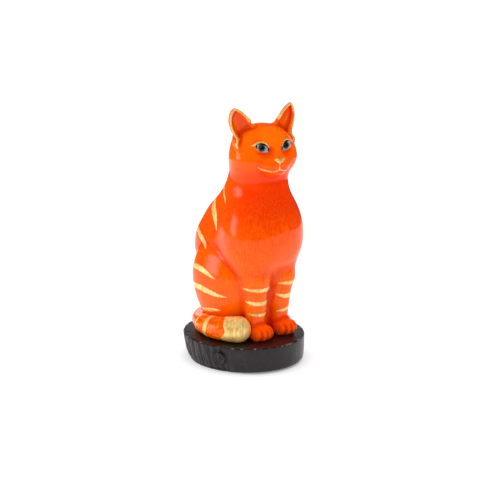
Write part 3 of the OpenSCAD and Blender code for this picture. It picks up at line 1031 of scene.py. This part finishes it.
def cut_depth(t, level):
    """How far the plinth's side is cut back, at an angle and a share of its height."""
    degrees = math.degrees(t)
    share = rough_share(degrees)
    # vertical chisel cuts: rounded hollows between sharp edges, broken across by chips
    cut = abs(math.sin(t * 21 + 0.3 * math.sin(level * 2.6 + t * 5) + 0.9 * math.sin(t * 7)))
    fine = abs(math.sin(t * 52 + 0.5 * math.sin(level * 6 + 3 * t)))
    chip = max(ripple(t, level * 1.2, 1.7), 0) * (0.6 + 0.4 * math.sin(level * 9 + t * 19))
    foot = 1.2 * (1 - level) ** 1.4
    depth = share * (0.05 + 0.55 * (1 - cut) ** 1.2 + 0.2 * (1 - fine) + 0.5 * chip + foot)
    # a round knot with two rings, where the rough stretch ends towards the front
    away = math.hypot((degrees - 202) / 8.0, (level - 0.5) / 0.36)
    rings = math.exp(-((away - 0.85) / 0.16) ** 2) + 0.5 * math.exp(-((away - 0.4) / 0.13) ** 2)
    depth = depth * min(max(away - 0.6, 0) * 1.5 + 0.2, 1) + 0.9 * rings
    undercut = 0.9 * rough_share(degrees - 18) * (1 - level) ** 1.5
    return depth + undercut + 0.05 * (1 - share) * ripple(t, level, 0.4)


def plinth():
    half = (PLINTH[1] - PLINTH[0]) / 2
    low, high = PLINTH[0][2], PLINTH[1][2]
    around, rows = ((720, 34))
    rising = np.linspace(0, 1, rows)[1:]
    profile = [(0.86, low), (0.93, low), (0.96, low + 0.15), (0.975, low + 0.6), (0.985, low + 1.6)]
    profile += [(0.985 + 0.015 * t ** 0.6, low + 1.6 + (high - low - 2.1) * t) for t in rising]
    profile += [(0.997, high - 0.3), (0.988, high - 0.08)] + [(r, high) for r in (0.972, 0.8, 0.55, 0.25)]
    points = []
    for r, z in profile:
        level = (z - low) / (high - low)
        on_edge = 0.97 < r < 0.99 and level > 0.9
        for t in np.arange(around) * 2 * math.pi / around:
            wide = r * (1 - cut_depth(t, level) / half[0]) if r > 0.9 else r
            nick = 0.12 * max(ripple(t * 3, 0, 2.0), 0) if on_edge else 0
            points.append((half[0] * wide * math.cos(t), half[1] * wide * math.sin(t), z - nick))
    # the ring of the top edge, which carries the rubbed wear and the painted glints
    worn = np.repeat([1.0 if 0.98 < r < 0.998 and z > high - 0.4 else 0.0 for r, z in profile], around)
    return solid("wood_plinth", to_figure(points), ring_faces(len(profile), around), worn=worn)


def felt_pad():
    """A fuzzy felt that stays behind the plinth's chiselled foot."""
    low, high = (np.array(c) * 1000 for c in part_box("felt_pad"))
    half = 0.93 * (high - low) / 2
    around = 180
    bottom, top = low[2], high[2]
    profile = [(0.01, bottom), (0.6, bottom), (0.97, bottom), (0.995, bottom + 0.15)]
    profile += [(1.0, (bottom + top) / 2), (0.995, top - 0.1), (0.97, top), (0.5, top)]
    points = []
    for k, (r, z) in enumerate(profile):
        for t in np.arange(around) * 2 * math.pi / around:
            wide = r * (1 + 0.002 * math.sin(37 * t) * math.sin(11 * t + k)) if r > 0.9 else r
            points.append((half[0] * wide * math.cos(t), half[1] * wide * math.sin(t), z))
    return solid("felt_base", to_figure(points), ring_faces(len(profile), around))


finish_piece(plinth(), WOOD, "plinth")
finish_piece(felt_pad(), FELT, "felt_pad")

for node in ("plinth_screws", "screw_washers"):
    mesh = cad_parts[node].data
    mesh.materials.clear()
    mesh.materials.append(STEEL)


# ---- Floor, lights and camera ----

FLOOR_RADIUS = 0.38


def floor():
    look = Look("floor")
    cloud = look.noise(look.where(), 3.0)
    look.put(Base_Color=look.ramp(cloud, (0.0, (0.94, 0.94, 0.94)), (1.0, (0.96, 0.96, 0.96))))
    look.put(Roughness=0.7, Specular_IOR_Level=0.0, Emission_Color=(1, 1, 1, 1), Emission_Strength=0.22)
    mesh = bpy.data.meshes.new("floor")
    edge = [(FLOOR_RADIUS * math.cos(t), FLOOR_RADIUS * math.sin(t), 0) for t in np.arange(96) * math.pi / 48]
    mesh.from_pydata(edge, [], [tuple(range(len(edge)))])
    mesh.materials.append(look.material)
    piece = bpy.data.objects.new("floor", mesh)
    bpy.context.scene.collection.objects.link(piece)


def look_at(name, data, aim, azimuth, elevation, distance):
    """A lamp or camera round the figure, turned to aim. Azimuth 0 is ahead of it, and 90 on its left."""
    a, e = math.radians(azimuth), math.radians(elevation)
    back = Vector((math.sin(a) * math.cos(e), -math.cos(a) * math.cos(e), math.sin(e)))
    piece = bpy.data.objects.new(name, data)
    piece.location = Vector(aim) + back * distance
    piece.rotation_mode = "QUATERNION"
    piece.rotation_quaternion = (-back).to_track_quat("-Z", "Y")
    bpy.context.scene.collection.objects.link(piece)
    return piece


def lamp(name, azimuth, elevation, size, power):
    light = bpy.data.lights.new(name, "AREA")
    light.shape, light.size, light.size_y = "RECTANGLE", size[0], size[1]
    light.energy = power
    look_at(name, light, (0, 0, 0.06), azimuth, elevation, 0.8)


TENT_LOW, TENT_HIGH, TENT_BELOW = 0.62, 1.35, 1.15     # its brightness at the horizon, overhead and below
ROOM = 0.06


def surroundings():
    """A white tent, brightest overhead. What the gloss mirrors of it is only a dim room."""
    world = bpy.data.worlds.new("studio")
    world.use_nodes = True
    nodes, links = world.node_tree.nodes, world.node_tree.links
    tent = nodes["Background"]
    up = nodes.new("ShaderNodeSeparateXYZ")
    level = nodes.new("ShaderNodeMapRange")
    below, lit = nodes.new("ShaderNodeMath"), nodes.new("ShaderNodeMath")
    room = nodes.new("ShaderNodeBackground")
    path, choice = nodes.new("ShaderNodeLightPath"), nodes.new("ShaderNodeMixShader")
    level.inputs["To Min"].default_value, level.inputs["To Max"].default_value = TENT_LOW, TENT_HIGH
    below.operation, lit.operation = "LESS_THAN", "MULTIPLY_ADD"
    below.inputs[1].default_value, lit.inputs[1].default_value = 0.0, TENT_BELOW - TENT_LOW
    tent.inputs[0].default_value = (1, 1, 1, 1)
    room.inputs[0].default_value, room.inputs[1].default_value = (1, 1, 1, 1), ROOM
    links.new(nodes.new("ShaderNodeTexCoord").outputs["Generated"], up.inputs[0])
    links.new(up.outputs[2], level.inputs[0])
    links.new(up.outputs[2], below.inputs[0])
    links.new(below.outputs[0], lit.inputs[0])
    links.new(level.outputs[0], lit.inputs[2])
    links.new(lit.outputs[0], tent.inputs[1])
    links.new(path.outputs["Is Glossy Ray"], choice.inputs[0])
    links.new(tent.outputs[0], choice.inputs[1])
    links.new(room.outputs[0], choice.inputs[2])
    links.new(choice.outputs[0], nodes["World Output"].inputs[0])
    world.cycles.sampling_method = "NONE"  # so that the gloss meets only the dim room
    bpy.context.scene.world = world


floor()
lamp("behind", 137, 4, (0.7, 0.12), 0.5)
lamp("left", -127, 6, (0.32, 0.34), 2.1)
surroundings()
bpy.context.scene.view_settings.view_transform = "Standard"

camera = bpy.data.cameras.new("camera")
camera.lens, camera.sensor_width = 157.0, 36.0
aim = (-0.0012, 0.0011, (cad_box[0][2] + cad_box[1][2]) / 2 - 0.0044)
bpy.context.scene.camera = look_at("camera", camera, aim, -42, 15, 0.95)
